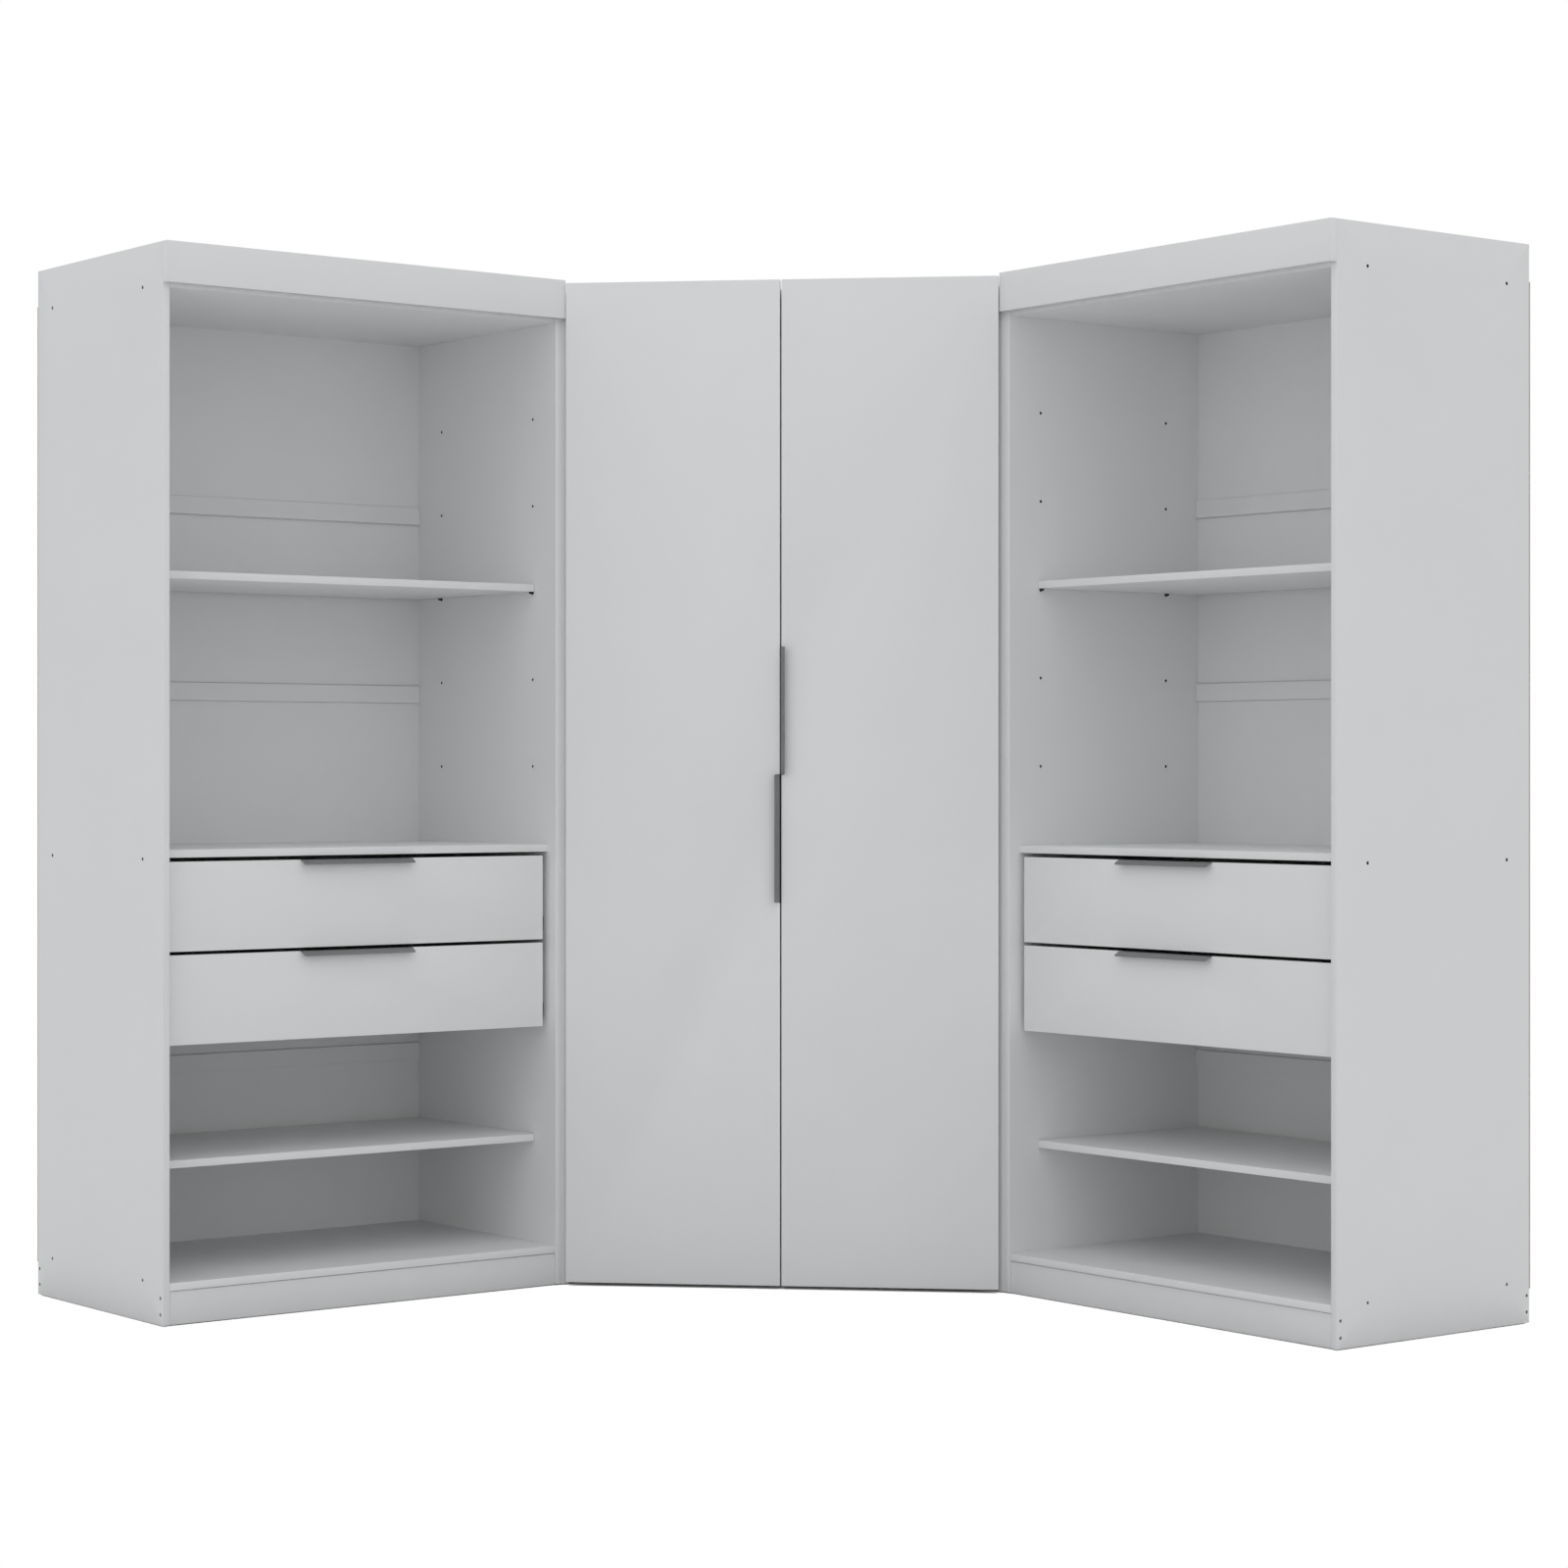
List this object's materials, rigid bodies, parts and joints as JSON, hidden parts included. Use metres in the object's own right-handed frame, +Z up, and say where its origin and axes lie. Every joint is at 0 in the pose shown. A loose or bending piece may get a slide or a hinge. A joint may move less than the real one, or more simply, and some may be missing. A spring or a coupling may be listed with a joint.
{
  "type": "corner wardrobe",
  "caption": "Corner wardrobe: open shelved wings with drawers along both walls, joined by a corner cabinet whose tall doors stand diagonally across the corner.",
  "frame": {"origin": "on the floor, at the centre of the square footprint that the two wings and the room corner enclose", "axes": "+Z up; the room corner is at -X, +Y; the left wing backs onto the wall at -X and faces +X; the right wing backs onto the wall at +Y and faces -Y; the doors face the +X, -Y corner"},
  "size_m": [2.094, 2.094, 2.065],
  "materials": {
    "pale_laminate": "pale grey-white melamine laminate on board, fine matt grain, satin",
    "back_board": "painted thin fibreboard, matt",
    "drawer_board": "pale laminate on board, matt",
    "pull_metal": "dark satin anodised",
    "runner_steel": "zinc-plated sheet, satin",
    "hinge_steel": "nickel-plated, satin",
    "rail_chrome": "polished"
  },
  "bodies": {
    "carcass": {"left_outer_side": "pale_laminate", "left_inner_side": "pale_laminate", "left_top_panel": "pale_laminate", "left_fascia": "pale_laminate", "left_bottom_panel": "pale_laminate", "left_plinth": "pale_laminate", "left_fixed_shelf": "pale_laminate", "left_upper_shelf": "pale_laminate", "left_lower_shelf": "pale_laminate", "left_back_panel": "back_board", "left_upper_runner_outer": "runner_steel", "left_upper_runner_inner": "runner_steel", "left_lower_runner_outer": "runner_steel", "left_lower_runner_inner": "runner_steel", "right_outer_side": "pale_laminate", "right_inner_side": "pale_laminate", "right_top_panel": "pale_laminate", "right_fascia": "pale_laminate", "right_bottom_panel": "pale_laminate", "right_plinth": "pale_laminate", "right_fixed_shelf": "pale_laminate", "right_upper_shelf": "pale_laminate", "right_lower_shelf": "pale_laminate", "right_back_panel": "back_board", "right_upper_runner_outer": "runner_steel", "right_upper_runner_inner": "runner_steel", "right_lower_runner_outer": "runner_steel", "right_lower_runner_inner": "runner_steel", "corner_left_side": "pale_laminate", "corner_right_side": "pale_laminate", "corner_left_back": "back_board", "corner_right_back": "back_board", "corner_bottom_panel": "pale_laminate", "corner_top_panel": "pale_laminate", "corner_plinth": "pale_laminate", "corner_hat_shelf": "pale_laminate", "hanging_rail": "rail_chrome", "rail_hanger": "rail_chrome", "left_hinge_lower": "hinge_steel", "left_hinge_middle": "hinge_steel", "left_hinge_upper": "hinge_steel", "right_hinge_lower": "hinge_steel", "right_hinge_middle": "hinge_steel", "right_hinge_upper": "hinge_steel"},
    "left_upper_drawer": {"left_upper_drawer_front": "pale_laminate", "left_upper_drawer_box": "drawer_board", "left_upper_drawer_pull": "pull_metal"},
    "left_lower_drawer": {"left_lower_drawer_front": "pale_laminate", "left_lower_drawer_box": "drawer_board", "left_lower_drawer_pull": "pull_metal"},
    "right_upper_drawer": {"right_upper_drawer_front": "pale_laminate", "right_upper_drawer_box": "drawer_board", "right_upper_drawer_pull": "pull_metal"},
    "right_lower_drawer": {"right_lower_drawer_front": "pale_laminate", "right_lower_drawer_box": "drawer_board", "right_lower_drawer_pull": "pull_metal"},
    "left_door": {"left_door": "pale_laminate", "left_door_pull": "pull_metal"},
    "right_door": {"right_door": "pale_laminate", "right_door_pull": "pull_metal"}
  },
  "joints": [
    {"name": "left_upper_drawer_slide", "type": "slide", "parent": "carcass", "child": "left_upper_drawer", "axis": [1, 0, 0], "range_m": [0, 0.34]},
    {"name": "left_lower_drawer_slide", "type": "slide", "parent": "carcass", "child": "left_lower_drawer", "axis": [1, 0, 0], "range_m": [0, 0.34]},
    {"name": "right_upper_drawer_slide", "type": "slide", "parent": "carcass", "child": "right_upper_drawer", "axis": [0, 1, 0], "range_m": [-0.34, 0]},
    {"name": "right_lower_drawer_slide", "type": "slide", "parent": "carcass", "child": "right_lower_drawer", "axis": [0, 1, 0], "range_m": [-0.34, 0]},
    {"name": "left_door_hinge", "type": "hinge", "parent": "carcass", "child": "left_door", "pos_m": [-0.4945, -0.13412, 1.03225], "axis": [0, 0, 1], "range_deg": [-95, 0]},
    {"name": "right_door_hinge", "type": "hinge", "parent": "carcass", "child": "right_door", "pos_m": [0.13412, 0.4945, 1.03225], "axis": [0, 0, 1], "range_deg": [0, 95]}
  ]
}
